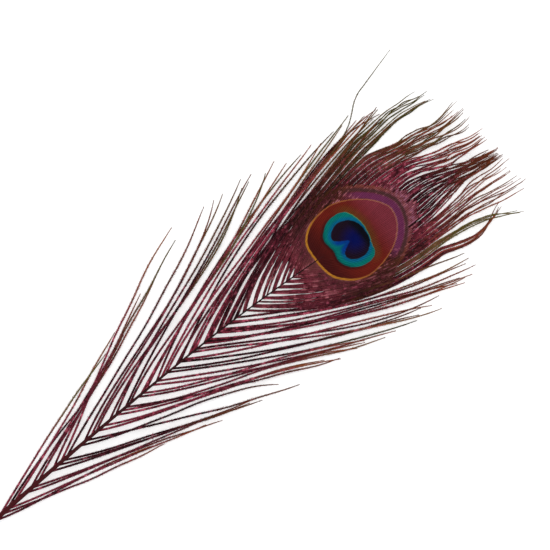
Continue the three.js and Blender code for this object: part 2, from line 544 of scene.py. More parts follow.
@dataclass
class Strands:
    """Strands side by side: paths in millimetres, and what each one's numbers are."""

    paths: Array
    tone: Array
    olive: Array
    along: Array = field(init=False)
    length: Array = field(init=False)
    ahead: Array = field(init=False)
    aside: Array = field(init=False)
    above: Array = field(init=False)

    def __post_init__(self) -> None:
        """Works out each path's length and directions."""
        steps = np.linalg.norm(np.diff(self.paths, axis=1), axis=-1)
        run = np.concatenate([np.zeros((len(steps), 1)), np.cumsum(steps, axis=1)], axis=1)
        self.length = run[:, -1]
        self.along = run / self.length[:, None]
        self.ahead = unit(np.gradient(self.paths, axis=1))
        self.aside = unit(np.cross(self.ahead, UP))
        self.above = np.cross(self.aside, self.ahead)

    def _numbers(self, along: Array, spread: Array, strand: Array) -> dict[str, Array]:
        """The numbers that the finishes read, for points on these strands."""
        return {
            "along": along.ravel(),
            "spread": spread.ravel(),
            "tone": self.tone[strand].ravel(),
            "olive": self.olive[strand].ravel(),
            "run": (along * self.length[strand]).ravel(),
        }

    def _spot(self, along: Array, spread: Array, strand: Array) -> Array:
        """The bake map: a row to each strand, with its length across the map."""
        v = (strand + 0.5 + 0.46 * spread) / len(self.paths)
        return np.stack([0.005 + 0.99 * along.ravel(), v.ravel()], 1)

    def tubes(self, across: Array, rise: Array) -> tuple[Array, Array, Array]:
        """Tubes along the paths.

        Args:
            across: Millimetres to the side, for each corner of each section.
            rise: Millimetres up, likewise.

        Returns:
            The corners' places, their numbers by strand, section and corner, and the four
            corners of each wall.
        """
        places = (
            self.paths[:, :, None]
            + self.aside[:, :, None] * across[..., None]
            + self.above[:, :, None] * rise[..., None]
        )
        index = np.arange(places.size // 3).reshape(places.shape[:3])
        after = np.roll(index, -1, axis=2)
        walls = np.stack([index[:, :-1], index[:, 1:], after[:, 1:], after[:, :-1]], axis=-1)
        return places.reshape(-1, 3), index, walls

    def rods(self, half_width: Array, flatness: float = 0.5, map_spread: float = 0.12) -> Block:
        """Closed rods of four sides along the paths.

        Args:
            half_width: Millimetres to either side, for each point of each path.
            flatness: A rod's height as a share of its width.
            map_spread: How far it reaches to either side of its row of the bake map.

        Returns:
            The block.
        """
        across, rise = np.array([(1, 0, -1, 0), (0, 1, 0, -1)])
        half_width = half_width[..., None]
        places, index, walls = self.tubes(half_width * across, half_width * flatness * rise)
        strand = np.broadcast_to(np.arange(len(index))[:, None, None], index.shape)
        along = np.broadcast_to(self.along[:, :, None], index.shape)
        return Block(
            places,
            np.concatenate([walls.reshape(-1, 4), index[:, 0], index[:, -1, ::-1]]),
            self._numbers(along, np.zeros(index.shape), strand),
            self._spot(along, across * map_spread, strand),
        )

    def fringe(self, barbules: Barbules, reach: Array, rng: Rng) -> Block:
        """Barbules on both sides of every strand, each a closed spike.

        Args:
            barbules: What they are like.
            reach: A barbule's length in millimetres, for each point of each path.
            rng: Where its unevenness comes from.

        Returns:
            The block.
        """
        most = int(self.length.max() / barbules.pitch)
        strand = np.repeat(np.arange(len(self.paths)), 2 * most)
        side = np.tile(np.repeat([-1.0, 1.0], most), len(self.paths))
        order = np.tile(np.arange(most), 2 * len(self.paths))
        order = order + rng.uniform(-barbules.jitter, barbules.jitter, len(side))
        run = np.maximum(order, 0.2) * barbules.pitch
        share = run / self.length[strand]
        long = self._read(reach, strand, share)
        kept = (run < self.length[strand] - barbules.bare_end) & (long > barbules.shortest)
        strand, side, share, long = (held[kept] for held in (strand, side, share, long))
        base, ahead, aside, above = (
            self._read(held, strand, share)
            for held in (self.paths, self.ahead, self.aside, self.above)
        )
        lean = rng.normal(*barbules.lean, len(side))
        lift = rng.normal(*barbules.lift, len(side))
        long = long * rng.uniform(*barbules.sizes, len(side))
        outward = aside * (side * np.cos(lift))[:, None] + above * np.sin(lift)[:, None]
        way = ahead * np.cos(lean)[:, None] + outward * np.sin(lean)[:, None]
        half = ahead * barbules.half_width
        ridge = above * barbules.half_width * barbules.height_share
        ends = [base - half, base + half, base + ridge, base + way * long[:, None]]
        corners = np.stack(ends, axis=1)
        corners[..., 2] = np.maximum(corners[..., 2], barbules.lowest)
        index = np.arange(4 * len(side)).reshape(-1, 4)
        shape = np.array([[0, 1, 3], [0, 3, 2], [1, 2, 3], [0, 2, 1]])
        faces = np.where(side[:, None, None] > 0, shape, shape[:, ::-1]) + index[:, :1, None]
        length = self.length[strand]
        foot, tip = barbules.half_width / length, share + long * np.cos(lean) / length
        along = np.stack([share - foot, share + foot, share, np.minimum(tip, 1.0)], axis=1)
        spread = np.broadcast_to((0.0, 0.0, 0.0, 1.0), along.shape)
        strand = np.broadcast_to(strand[:, None], along.shape)
        return Block(
            corners.reshape(-1, 3),
            faces.reshape(-1, 3),
            self._numbers(along, spread, strand),
            self._spot(along, side[:, None] * barbules.map_spread, strand),
        )

    def _read(self, held: Array, strand: Array, share: Array) -> Array:
        """What is held for each point of each path, part of the way along strands.

        Args:
            held: Values or vectors, by strand and step.
            strand: Which strand each reading is of.
            share: How far along it, from 0 to 1.

        Returns:
            The readings.
        """
        steps = self.paths.shape[1]
        keys = self.along + np.arange(len(self.paths))[:, None] * 2.0
        found = np.searchsorted(keys.ravel(), share + strand * 2.0, side="right") - 1
        first = np.clip(found - strand * steps, 0, steps - 2)
        low, high = self.along[strand, first], self.along[strand, first + 1]
        part = ((share - low) / np.maximum(high - low, 1e-9)).clip(0, 1)
        part = part.reshape(part.shape + (1,) * (held.ndim - 2))
        return held[strand, first] * (1 - part) + held[strand, first + 1] * part


# ----- The shaft -----


@dataclass(frozen=True)
class HornFinish:
    """Dyed horn: deep red at the quill, brown-black where it thins under the eye."""

    quill: Colour = srgb(66, 5, 12)
    thin: Colour = srgb(30, 8, 10)
    pale: Colour = srgb(120, 24, 28)

    def material(self) -> Material:
        """Builds the finish.

        Returns:
            The material.
        """
        nodes = Nodes("dyed_horn")
        streak = nodes.noise(2400, 4, (1, 0.03, 1))
        colour = nodes.mix(nodes.place("Y").step(-169.3, -59.3), self.quill, self.thin)
        return nodes.finish(
            Base_Color=nodes.mix(streak.step(0.5, 0.85) * 0.4, colour, self.pale),
            Roughness=0.38 + streak * 0.25,
            Specular_IOR_Level=0.14,
            Normal=nodes.bump(0.35, 0.0002, streak),
        )


@dataclass
class Shaft:
    """The quill and the shaft, bowed up a little between the quill's tip and the eye."""

    line: Line = ((3.6, -212), (0.6, -165), (-1.6, -110), (-2.3, -50), (0, 0), (2.6, 17))
    half_widths: Floats = (0.55, 1.1, 0.9, 0.7, 0.5, 0.37, 0.29, 0.2)
    depth_share: float = 1.1
    bow: float = 3.2
    joins_vane: Span = (-32, -8)
    goes_under: Span = (1.2, 5.5)
    drop: float = 0.36
    # How far from the quill's tip each section lies, and its share of the full width.
    rounding: Line = ((0, 0.7), (0.2, 0.93), (0.6, 1))
    rim: float = 0.13
    # How far each step of the hole goes in, and how much it narrows there.
    hole: Line = ((0.12, 0.8), (0.9, 0.7))
    sides: int = 20
    steps: int = 64

    def share(self, y: Array) -> Array:
        """How far along the shaft a distance along the feather lies."""
        start, end = self.line[0][1], self.line[-1][1]
        return np.clip((np.asarray(y, float) - start) / (end - start), 0.0, 1.0)

    def half_width(self, y: Array) -> Array:
        """Half of the shaft's width at a distance along the feather."""
        share = self.share(y)
        return np.interp(share, np.linspace(0, 1, len(self.half_widths)), self.half_widths)

    def centre(self, y: Array) -> Array:
        """The middle of the shaft.

        Args:
            y: Distances along the feather.

        Returns:
            The middle at each distance.
        """
        fine = spline(self.line, np.linspace(0, 1, 200))
        x = np.interp(y, fine[:, 1], fine[:, 0])
        z = self.half_width(y) * self.depth_share + self.bow * np.sin(math.pi * self.share(y))
        vane = vane_height(x, y) - self.drop * smooth(*self.goes_under, y)
        z = z + (vane - z) * smooth(*self.joins_vane, y)
        return np.stack([x, y, z], axis=-1)

    def build(self) -> None:
        """Draws the shaft out of a ring at the quill's tip, section by section."""
        start, end = self.line[0][1], self.line[-1][1]
        offs, shares = np.array(self.rounding).T
        full = np.linspace(start + offs[-1], end, self.steps + 1 - len(offs))
        y = np.concatenate([start + offs[:-1], full])
        centres = self.centre(y) * MM
        centres[:, :2] += EYE_FOOT
        widths = self.half_width(y) * MM
        widths[: len(shares)] *= shares
        bpy.ops.object.select_all(action="DESELECT")
        bpy.ops.mesh.primitive_circle_add(
            vertices=self.sides,
            radius=widths[0],
            fill_type="NGON",
            location=Vector(centres[0]),
            rotation=(math.pi / 2, 0, 0),
        )
        made = bpy.context.object
        made.name = made.data.name = "quill_and_shaft"
        bpy.ops.object.transform_apply(location=True, rotation=True, scale=True)
        bpy.ops.object.mode_set(mode="EDIT")
        bpy.ops.mesh.select_all(action="SELECT")
        for i in range(1, self.steps):
            step, size = Vector(centres[i] - centres[i - 1]), widths[i] / widths[i - 1]
            bpy.ops.mesh.extrude_region_move(TRANSFORM_OT_translate={"value": step})
            bpy.ops.transform.resize(value=(size, size, size), center_override=Vector(centres[i]))
        bpy.ops.mesh.select_mode(type="FACE")
        bpy.ops.mesh.select_all(action="DESELECT")
        bpy.ops.object.mode_set(mode="OBJECT")
        for face in made.data.polygons:
            face.select = bool(abs(face.center.y - centres[0][1]) < 1e-6)
        bpy.ops.object.mode_set(mode="EDIT")
        bpy.ops.mesh.inset(thickness=self.rim * MM, depth=0)
        for ahead, size in self.hole:
            bpy.ops.mesh.extrude_region_move(TRANSFORM_OT_translate={"value": (0, ahead * MM, 0)})
            bpy.ops.transform.resize(value=(size, size, size))
        bpy.ops.mesh.select_all(action="SELECT")
        bpy.ops.mesh.normals_make_consistent(inside=False)
        bpy.ops.object.mode_set(mode="OBJECT")
        made.data.materials.append(HornFinish().material())
        bpy.ops.object.shade_smooth_by_angle(angle=math.radians(60))
        dress(made)


# ----- Loose barbs -----


@dataclass(frozen=True)
class BarbFinish:
    """Wine-red dye on barbs and barbules, worn to olive and brown towards the tips, with rose
    barbule tips that are partly painted highlight, rose flecks that are painted highlights, and
    painted shade on the barbs beside the eye.
    """

    wine: Colour = srgb(132, 44, 62)
    deep: Colour = srgb(32, 6, 10)
    rose_highlight: Colour = srgb(214, 104, 128)
    green: Colour = srgb(92, 88, 38)
    brown: Colour = srgb(142, 76, 42)
    shade: Colour = srgb(38, 18, 14)

    def material(self) -> Material:
        """Builds the finish.

        Returns:
            The material.
        """
        nodes = Nodes("dyed_barbs")
        along, spread, tone, olive = map(nodes.attribute, ("along", "spread", "tone", "olive"))
        x, y = nodes.place("X"), nodes.place("Y")
        mottle, speckle = nodes.noise(420, 3), nodes.noise(2400, 2)
        fleck = nodes.streaks(2.6)
        tip = nodes.mix(olive.step(0.35, 0.75), self.brown, self.green)
        tip = nodes.brighten(tip, (0.6 + 0.8 * speckle) * (0.6 + 0.7 * tone))
        # Barbule tips turn a lighter rose: partly their own paler pink, partly a painted highlight
        # of light shining through them.
        light = (spread * 0.9 + speckle * 1.4 - 0.75).step(0.05, 0.85)
        # Painted shade: the barbs beside the eye are darkened there towards the shade colour.
        shade_beside_eye = x.apart(2).band(15, 25, 3) * y.step(-10, 6) * y.step(46, 34)
        ageing = (along + olive * 0.3 + mottle * 0.3 - 0.15).step(0.6, 1.1)
        colour = nodes.layered(
            self.deep,
            (tone * 0.95 + mottle * 0.8 - 0.4, self.wine),
            (light * (0.3 + 0.4 * tone), self.rose_highlight),
            # Rose flecks along each strand are painted highlights.
            (fleck.step(0.56, 0.68) * (0.25 + 0.6 * tone), self.rose_highlight),
            (fleck.step(0.47, 0.36) * 0.75, self.deep),
            (shade_beside_eye * (0.85 - 0.5 * tone), self.shade),
            (ageing * 0.85, tip),
        )
        return nodes.finish(
            Base_Color=colour,
            Roughness=0.5 + 0.2 * mottle,
            Specular_IOR_Level=0.07,
            Normal=nodes.bump(0.2, 0.0001, speckle),
        )


@dataclass(frozen=True)
class EdgePlan:
    """How the barbs of one edge lie, by where they leave the shaft, in millimetres."""

    edge: Edge
    olive: float
    roots: Floats
    tip_x: Floats
    tip_y: Floats
    root_angles: Floats
    tip_angles: Floats
    strays: tuple[Line, ...] = ()


STRAY = ((-2.3, -50), (-15, -20), (-27, 16), (-35.5, 44), (-44.5, 57), (-47.5, 66), (-52, 82.5))
LEFT_PLAN = EdgePlan(
    Edge.LEFT,
    olive=0.5,
    roots=(-187, -174, -143, -130, -115, -100, -87, -78, -63, -50),
    tip_x=(-15, -27, -44, -50, -48, -43, -41, -39, -36, -33),
    tip_y=(-128, -86, -42, -16, -4, 6, 24, 38, 52, 60),
    root_angles=(16, 20, 25, 27, 28, 28, 28, 28, 28, 28),
    tip_angles=(14, 18, 26, 34, 32, 28, 18, 12, 8, 4),
    strays=(STRAY,),
)
RIGHT_PLAN = EdgePlan(
    Edge.RIGHT,
    olive=0.3,
    roots=(-187, -174, -143, -113, -87, -70, -56, -48, -42),
    tip_x=(17, 24, 31, 40, 43, 45, 46, 42, 36),
    tip_y=(-126, -94, -56, -22, 6, 32, 44, 54, 60),
    root_angles=(16, 20, 26, 30, 32, 33, 34, 34, 34),
    tip_angles=(14, 16, 22, 26, 24, 20, 18, 12, 4),
)


@dataclass
class LooseBarbs:
    """The loose barbs of one edge, some of them clinging together towards their tips."""

    plan: EdgePlan
    shaft: Shaft
    seed: int
    barbules: Barbules = Barbules(reach=1.3, pitch=0.18)
    first_root: float = -187.0
    last_root: float = -42.0
    closest: float = 2.2
    spacing_growth: float = 0.038
    band_pull: float = 0.38
    handles: Span = (0.3, 0.36)
    tip_scatter: Triple = (2.2, 4.0, 0)
    angle_scatter: Span = (2, 6)
    parting: float = 0.6
    steps: int = 44
    wander: float = 0.9
    half_widths: Span = (0.5, 0.24)
    stray_end: float = 0.5
    stray_arch: float = 5.5
    stray_share: float = 0.55

    def roots(self, rng: Rng) -> Array:
        """Where the barbs leave the shaft, closer together towards the eye.

        Args:
            rng: Where the unevenness comes from.

        Returns:
            Places along the shaft, in order.
        """
        found = [self.last_root]
        while found[-1] > self.first_root:
            gap = self.closest + self.spacing_growth * (self.last_root - found[-1])
            found.append(found[-1] - gap * rng.uniform(0.8, 1.2))
        return banded(np.array(found[:-1][::-1]), self.band_pull, rng)

    def paths(self, rng: Rng) -> Array:
        """Each barb's path: out of the shaft, over in a low arch and down to its tip.

        Args:
            rng: Where the unevenness comes from.

        Returns:
            The paths, with those of the strays last.
        """
        plan, side = self.plan, self.plan.edge.value
        y = self.roots(rng)
        count = len(y)
        root = self.shaft.centre(y)

        def read(stations: Sequence[float]) -> Array:
            """A value of the plan for each barb."""
            return np.interp(y, plan.roots, stations)

        def ahead(degrees: Array) -> Array:
            """A direction on the plan for each barb, turned outward from the shaft's."""
            angle = np.radians(degrees)
            return np.stack([side * np.sin(angle), np.cos(angle), np.zeros(count)], axis=1)

        tip = np.stack([read(plan.tip_x), read(plan.tip_y), np.zeros(count)], axis=1)
        tip += rng.normal(0, 1, (count, 3)) * self.tip_scatter
        for own in clumps(count, self.parting, rng):
            tip[own] += (tip[own].mean(0) - tip[own]) * (rng.uniform(0.1, 0.6), 0.2, 0)
        tip[:, 2] = 0.4 + rng.gamma(1.4, 1.1, count).clip(0, 4.4)
        length = np.linalg.norm(tip - root, axis=1)[:, None]
        rise = (0.9 + rng.gamma(2.0, 1.3, count).clip(0, 6.0))[:, None] * UP
        leave = ahead(read(plan.root_angles) + rng.normal(0, self.angle_scatter[0], count))
        arrive = ahead(read(plan.tip_angles) + rng.normal(0, self.angle_scatter[1], count))
        second = root * (1, 1, 0) + leave * length * self.handles[0] + rise
        third = tip * (1, 1, 0) - arrive * length * self.handles[1] + rise
        t = np.linspace(0, 1, self.steps)[:, None]
        weights = (1 - t) ** 3, 3 * t * (1 - t) ** 2, 3 * t**2 * (1 - t), t**3
        points = zip((root, second, third, tip), weights)
        found = sum(point[:, None] * weight for point, weight in points)
        return np.concatenate([wandering(found, self.wander, rng), self._strays()])

    def _strays(self) -> Array:
        """The paths of the barbs that stray from the rest, arched like them.

        Returns:
            The paths, which may be none.
        """
        share = np.linspace(0, 1, self.steps)
        found = np.empty((len(self.plan.strays), self.steps, 3))
        for path, line in zip(found, self.plan.strays):
            start = self.shaft.centre(line[0][1])[2]
            path[:, :2] = spline(line, share)
            path[:, 2] = start * (1 - share) + self.stray_end * share
            path[:, 2] += self.stray_arch * share * (1 - share)
        return found

    def build(self, finish: Material) -> None:
        """Makes the edge's barbs with their barbules.

        Args:
            finish: The material.
        """
        rng = np.random.default_rng(self.seed)
        paths = self.paths(rng)
        count, steps = paths.shape[:2]
        share = np.linspace(0, 1, steps)[None].repeat(count, 0)
        tone = rng.random(count)
        olive = (self.plan.olive + rng.normal(0, 0.22, count)).clip(0, 1)
        strands = Strands(paths, tone, olive)
        fine = np.ones((count, 1))
        fine[count - len(self.plan.strays) :] = self.stray_share
        root_half, tip_half = self.half_widths
        half_width = (root_half + (tip_half - root_half) * share) * fine * tapered(share)
        reach = self.barbules.reach * (0.5 + 0.5 * smooth(0.0, 0.1, share)) * fine
        reach = reach * (1 - 0.6 * smooth(0.75, 1.0, share))
        blocks = strands.rods(half_width), strands.fringe(self.barbules, reach, rng)
        made = StrandMesh(f"{self.plan.edge.name.lower()}_barbs", blocks).object(finish)
        dress(made)


# ----- The eye and the fan past it -----


@dataclass(frozen=True)
class EyePattern:
    """The lines that part the eye's colours, on the plan in millimetres."""

    gold: Outline = Outline(
        (
            (-0.4, 0.2), (6.5, 0.7), (11.3, 2.6), (16.1, 7.4), (18.7, 13), (19.1, 18.7),
            (17.4, 26.5), (14.4, 32.6), (9.6, 37.4), (3.9, 39.7), (0, 39.1), (-4.8, 36.1),
            (-9.1, 31.8), (-13, 25.7), (-15, 19.6), (-15, 13), (-13.5, 7.4), (-10.9, 3.5),
            (-7, 0.9),
        )
    )
    teal: Outline = Outline(
        (
            (-10.7, 17), (-10, 21.3), (-8.3, 23.7), (-4.8, 25.3), (0.4, 26.1), (5.7, 25.2),
            (9.1, 23.9), (12.2, 23), (14.1, 21.1), (14.7, 17.8), (13.9, 13.9), (11.7, 10.4),
            (8.7, 8.3), (5.2, 7.6), (1.3, 8.5), (-3, 7.9), (-5.7, 8.3), (-8.3, 10.7),
            (-10, 13.5),
        )
    )
    heart: Outline = Outline(
        (
            (-7.2, 16.5), (-6.5, 20), (-4.3, 23), (-0.7, 24.8), (3.5, 25), (7.6, 23.9),
            (10.4, 21), (11.2, 17.8), (10.4, 14.4), (8.3, 12), (6.1, 11.4), (4.3, 12.8),
            (3.1, 15.2), (2.1, 16.7), (0.9, 15.2), (-0.9, 12.4), (-2.6, 11.1), (-4.3, 11.5),
            (-6.1, 13.5),
        )
    )


@dataclass(frozen=True)
class Tuft:
    """A run of the fan's barbs between two edges, read at FAN_STATIONS, in millimetres."""

    barbs: int
    left: Floats
    right: Floats
    tip_y: float
    olive: float
    tone: float
    cling: float
    fullness: float = 1.0


FAN_STATIONS = (45.7, 52.2, 58.7, 65.3, 71.8, 78.3, 84.8, 91.4)
TUFTS = (
    Tuft(
        left=(-31.8, -32.0, -32.6, -32.6, -31.8, -31.3, -30.5, -30.0),
        right=(-22.8, -23.4, -24.0, -24.6, -24.4, -23.4, -21.8, -20.9),
        barbs=9, tip_y=84, olive=0.75, tone=0.45, cling=0.8, fullness=0.95,
    ),
    Tuft(
        left=(-22.8, -20.9, -19.1, -18.3, -17.0, -16.1, -17.0, -17.8),
        right=(-11.6, -11.1, -10.0, -8.3, -7.4, -6.4, -4.8, -5.2),
        barbs=16, tip_y=90.5, olive=0.6, tone=0.5, cling=0.4,
    ),
    Tuft(
        left=(-11.6, -10.9, -9.6, -7.0, -4.8, -3.0, -0.9, -0.4),
        right=(-2.4, -3.0, -1.6, 0.9, 3.5, 4.3, 5.0, 5.2),
        barbs=13, tip_y=92.7, olive=0.05, tone=0.8, cling=0.35,
    ),
    Tuft(
        left=(-2.4, -2.6, -1.3, 1.3, 4.4, 7.0, 8.5, 10.0),
        right=(17.0, 16.7, 15.6, 14.4, 13.5, 13.5, 14.0, 14.4),
        barbs=26, tip_y=92.2, olive=0.08, tone=0.22, cling=0.3,
    ),
    Tuft(
        left=(17.0, 17.0, 16.5, 15.6, 14.8, 15.0, 15.9, 15.4),
        right=(25.4, 25.7, 26.1, 26.5, 27.8, 29.6, 30.9, 32.2),
        barbs=14, tip_y=93.1, olive=0.3, tone=0.55, cling=0.35,
    ),
    Tuft(
        left=(25.4, 26.6, 27.8, 29.1, 31.3, 34.8, 38.3, 41.3),
        right=(28.6, 28.9, 29.8, 31.4, 34.0, 36.6, 40.4, 43.5),
        barbs=4, tip_y=84.4, olive=0.85, tone=0.95, cling=0.5, fullness=0.9,
    ),
    Tuft(
        left=(28.6, 31.4, 33.5, 33.7, 31.9, 29.7, 28.5, 27.6),
        right=(32.6, 34.9, 36.2, 35.7, 34.0, 31.8, 30.4, 29.4),
        barbs=5, tip_y=77.4, olive=0.2, tone=0.3, cling=0.5, fullness=0.9,
    ),
)
# Which tufts make the left, the middle and the right of the fan.
FAN_PIECES = {"left": (0, 2), "middle": (2, 4), "right": (4, 7)}


@dataclass(frozen=True)
class EyeFinish:
    """The eye's rings of colour over close-set barbs, each barb a little out of step, with painted
    shading that makes each barb lighter on its ridge and darker at its edges, painted rose
    highlights, and painted shade beside the eye.
    """

    wine: Colour = srgb(116, 46, 54)
    dark_wine: Colour = srgb(28, 6, 9)
    rose_highlight: Colour = srgb(198, 118, 126)
    mauve: Colour = srgb(112, 62, 60)
    dark_band: Colour = srgb(72, 42, 42)
    violet: Colour = srgb(104, 42, 78)
    straw: Colour = srgb(122, 62, 52)
    haze: Colour = srgb(150, 92, 114)
    gold: Colour = srgb(176, 116, 36)
    bronze: Colour = srgb(150, 86, 44)
    tan: Colour = srgb(150, 88, 72)
    maroon: Colour = srgb(66, 16, 15)
    russet: Colour = srgb(104, 28, 18)
    crimson: Colour = srgb(122, 46, 58)
    umber: Colour = srgb(98, 56, 22)
    rim: Colour = srgb(96, 140, 80)
    teal: Colour = srgb(2, 112, 106)
    blue: Colour = srgb(2, 96, 132)
    royal: Colour = srgb(2, 60, 138)
    heart: Colour = srgb(26, 10, 26)
    navy: Colour = srgb(1, 11, 82)
    black: Colour = srgb(3, 5, 14)

    def _outside(self, nodes: Nodes, ridge: Value, tone: Value, streak: Value) -> object:
        """The colour outside the gold line.

        Args:
            nodes: The material's nodes.
            ridge: 1 on a barb's ridge and 0 at its edges.
            tone: Each barb's own tone.
            streak: Noise along each barb.

        Returns:
            The colour.
        """
        x, y, gold = nodes.place("X"), nodes.place("Y"), nodes.attribute("gold")
        # Painted shade beside the eye: the barbs there are made darker and browner, and their
        # painted highlights weaker.
        side = x.apart(2).step(13, 22) * y.step(-8, 6) * y.step(44, 34)
        # Painted shade at each barb's edges, against its lighter ridge; random tone and streaks
        # and the painted shade beside the eye darken it too.
        dark = (1.0 - ridge) * 0.9 + tone * 0.6 + (0.5 - streak) * 2.2 + side * 0.75 - 0.3
        fleck = nodes.streaks(3.6)
        outer = nodes.layered(
            self.wine,
            (dark, self.dark_wine),
            (side * (1.1 - tone) * 0.7, self.umber),
            # Rose flecks, strongest on each barb's ridge, are painted highlights.
            (fleck.step(0.53, 0.62) * (0.25 + ridge * 0.6) * (1.0 - 0.65 * side), self.rose_highlight),
        )
        top, far, crown = y.step(25, 34), y.step(24, 36), x.band(-5, 17, 5)
        # The haze lies partly along each barb's ridge, a painted highlight, and partly in random
        # streaks.
        lines = 0.05 + 0.3 * ridge + 0.7 * streak.step(0.46, 0.62)
        return nodes.layered(
            outer,
            (y.step(-14, -2) * gold.step(-9, -3) * 0.8, self.mauve),
            (gold.band(-5.2, -0.7, 0.8) * x.apart(1).step(2.5, 5) * 0.5, self.dark_wine),
            (y.step(2, 16), outer),
            (far * crown * gold.step(-14, -6) * lines, self.haze),
            (far * (1.0 - crown * 0.6) * gold.band(-6.6, -5, 0.7) * 0.8, self.straw),
            (gold.band(-4.9, -3.3, 0.6) * top * 0.95, self.dark_band),
            (gold.band(-3.1, -0.4, 0.5) * top, self.violet),
        )

    def _inside(self, nodes: Nodes) -> object:
        """The colour between the gold line and the teal."""
        y, teal = nodes.place("Y"), nodes.attribute("teal")
        return nodes.layered(
            self.maroon,
            (y.step(2, 14), self.russet),
            (y.step(24, 36), self.crimson),
            (teal.step(-4.2, -0.4) * y.step(17, 25) * 0.75, self.umber),
            (teal.step(-1.6, 0) * y.step(20, 12) * 0.6, self.black),
        )

    def _water(self, nodes: Nodes) -> object:
        """The teal and the blue around the heart.

        Args:
            nodes: The material's nodes.

        Returns:
            The colour.
        """
        x, y = nodes.place("X"), nodes.place("Y")
        teal, heart = nodes.attribute("teal"), nodes.attribute("heart")
        notch = x.band(-1.6, 5.4, 1.2) * y.band(10.5, 18, 1.5)
        return nodes.layered(
            self.teal,
            (heart.step(-2.2, -0.4), self.blue),
            (notch * heart.step(-3, -0.6), self.royal),
            (teal.step(0.5, 0.1) * y.step(22, 25), self.rim),
            (teal.step(1.3, 0) * y.step(14, 9) * 0.55, self.black),
        )

    def material(self) -> Material:
        """Builds the finish.

        Returns:
            The material.
        """
        nodes = Nodes("eye_barbs")
        x, y = nodes.place("X"), nodes.place("Y")
        gold, teal, heart = map(nodes.attribute, ("gold", "teal", "heart"))
        tone, ridge, run = map(nodes.attribute, ("tone", "ridge", "run"))
        fibre, mottle = nodes.noise(2600, 3, (1, 0.12, 1)), nodes.noise(300, 3)
        half_line = 0.42 - 0.22 * y.step(2, 20)
        off = x.apart(3), y.apart(19)
        glow = (off[0] * off[0] + off[1] * off[1]).maths("SQRT").step(8, 0.5)
        line = nodes.layered(
            self.gold, (y.step(3, 15), self.bronze), (y.step(24, 37), self.tan)
        )
        dark = nodes.layered(
            self.heart, (glow, self.navy), (y.step(20, 23.4) * 0.95, self.black)
        )
        colour = nodes.layered(
            self._outside(nodes, ridge, tone, nodes.streaks(2.4)),
            (gold.step(0, 0.5), self._inside(nodes)),
            (1.0 - (gold.apart(0) - half_line).step(-0.14, 0.2), line),
            (teal.step(-0.15, 0.25), self._water(nodes)),
            (heart.step(-0.2, 0.3), dark),
        )
        # Each barb lighter along its ridge, a painted highlight, with random tone, fibre and
        # mottle.
        light = 0.84 + 0.14 * ridge + 0.16 * tone + 0.3 * (fibre - 0.5) + 0.2 * (mottle - 0.5)
        rows = (run * 21.0 - (1.0 - ridge) * 3.0).maths("SINE")
        gloss = teal.step(-0.2, 0.4)
        return nodes.finish(
            Base_Color=nodes.brighten(colour, light),
            Roughness=0.5 - 0.12 * gloss,
            Metallic=0.3 * gloss * heart.step(0.4, -0.2),
            Specular_IOR_Level=0.06,
            Normal=nodes.bump(0.3, 0.00012, rows * 0.5 + fibre),
        )


@dataclass(frozen=True)
class UnderFinish:
    """The dull brown underside of the eye."""

    brown: Colour = srgb(92, 48, 44)
    grey: Colour = srgb(128, 92, 84)

    def material(self) -> Material:
        """Builds the finish.

        Returns:
            The material.
        """
        nodes = Nodes("eye_underside")
        fibre, mottle = nodes.noise(2600, 3, (1, 0.12, 1)), nodes.noise(300, 3)
        return nodes.finish(
            Base_Color=nodes.mix(fibre * 0.7 + mottle * 0.4 - 0.1, self.brown, self.grey),
            Roughness=0.6 + 0.2 * mottle,
            Specular_IOR_Level=0.1,
            Normal=nodes.bump(0.3, 0.00012, fibre),
        )


